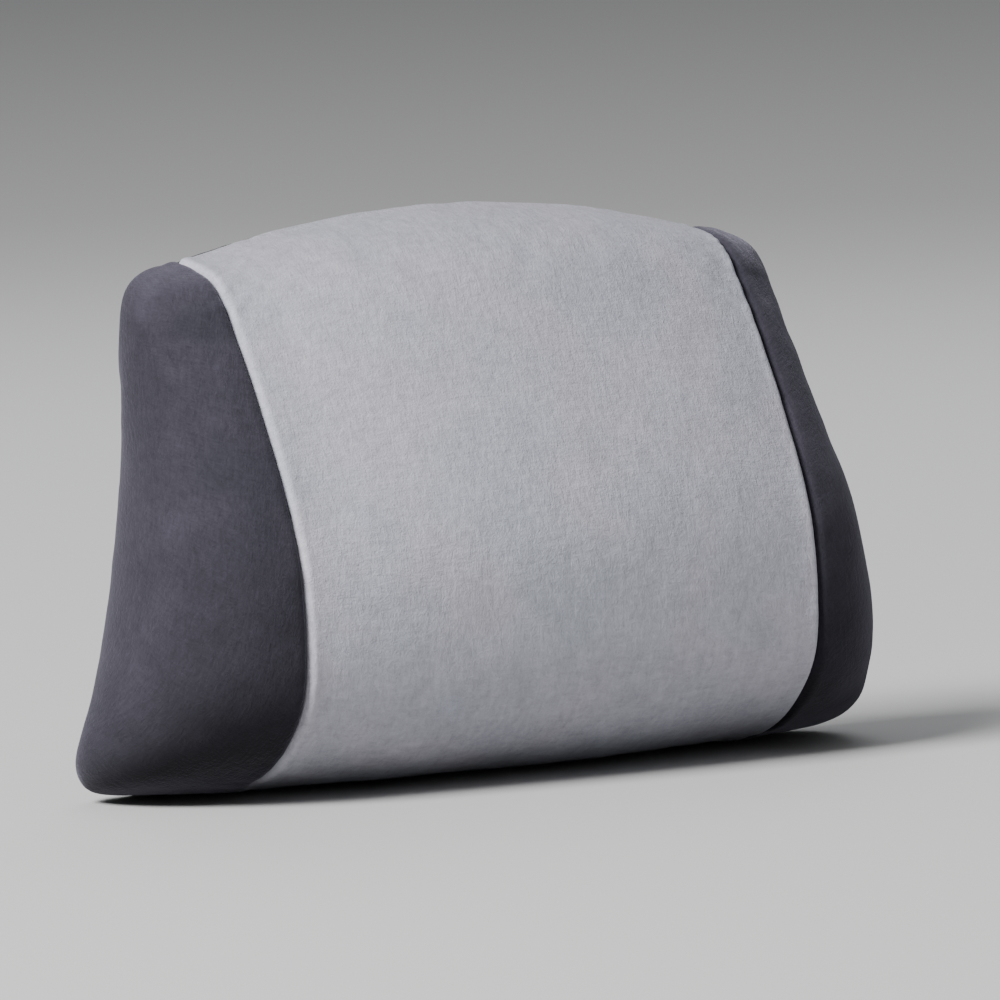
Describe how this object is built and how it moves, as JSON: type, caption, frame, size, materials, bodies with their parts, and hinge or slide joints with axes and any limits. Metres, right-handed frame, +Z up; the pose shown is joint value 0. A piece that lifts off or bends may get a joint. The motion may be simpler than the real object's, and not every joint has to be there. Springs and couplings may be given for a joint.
{
  "type": "lumbar support cushion",
  "caption": "Wedge-fronted padded lumbar cushion with a zipped two-tone cover, foam and wadding inside, and a buckled elastic strap that holds it to a chair back.",
  "frame": {"origin": "on the flat rear face of the cushion, on its centre line, at the height of the strap", "axes": "+X to the cushion's side, towards the plug half of the buckle; +Y out of the rear face, towards the chair back; +Z up; the padded front faces -Y"},
  "size_m": [0.3462, 0.1154, 0.216],
  "materials": {
    "grey_suede": "matt mottled suede cloth",
    "charcoal_suede": "matt brushed suede cloth",
    "back_fabric": "matt woven backing cloth",
    "zip_tape": "woven polyester tape",
    "webbing": "ribbed elastic webbing",
    "nylon": "satin moulded nylon",
    "zip_metal": "satin dark plated zinc",
    "wadding": "white polyester wadding",
    "foam": "open-cell foam"
  },
  "bodies": {
    "cushion": {"cover_centre_panel": "grey_suede", "cover_side_panel_left": "charcoal_suede", "cover_side_panel_right": "charcoal_suede", "cover_back_panel_upper": "back_fabric", "cover_back_panel_lower": "back_fabric", "zipper_tape_upper": "zip_tape", "zipper_tape_lower": "zip_tape", "zipper_coil_upper": "nylon", "zipper_coil_lower": "nylon", "zipper_stop_left": "zip_metal", "zipper_stop_right": "zip_metal", "wadding_front": "wadding", "wadding_back": "wadding", "foam_core": "foam", "strap_left": "webbing", "strap_right": "webbing", "buckle_socket": "nylon"},
    "zip_slider": {"zipper_slider": "zip_metal"},
    "pull_tab": {"zipper_pull_tab": "zip_metal"},
    "plug": {"buckle_plug": "nylon"}
  },
  "joints": [
    {"name": "zip_slide", "type": "slide", "parent": "cushion", "child": "zip_slider", "axis": [-1, 0, 0], "range_m": [0, 0.194]},
    {"name": "pull_tab_swing", "type": "hinge", "parent": "zip_slider", "child": "pull_tab", "pos_m": [0.0981, 0.00145, -0.062], "axis": [0, 0, -1], "range_deg": [0, 175]},
    {"name": "buckle_release", "type": "slide", "parent": "cushion", "child": "plug", "axis": [1, 0, 0], "range_m": [0, 0.024], "deforming": ["strap_right"]}
  ]
}
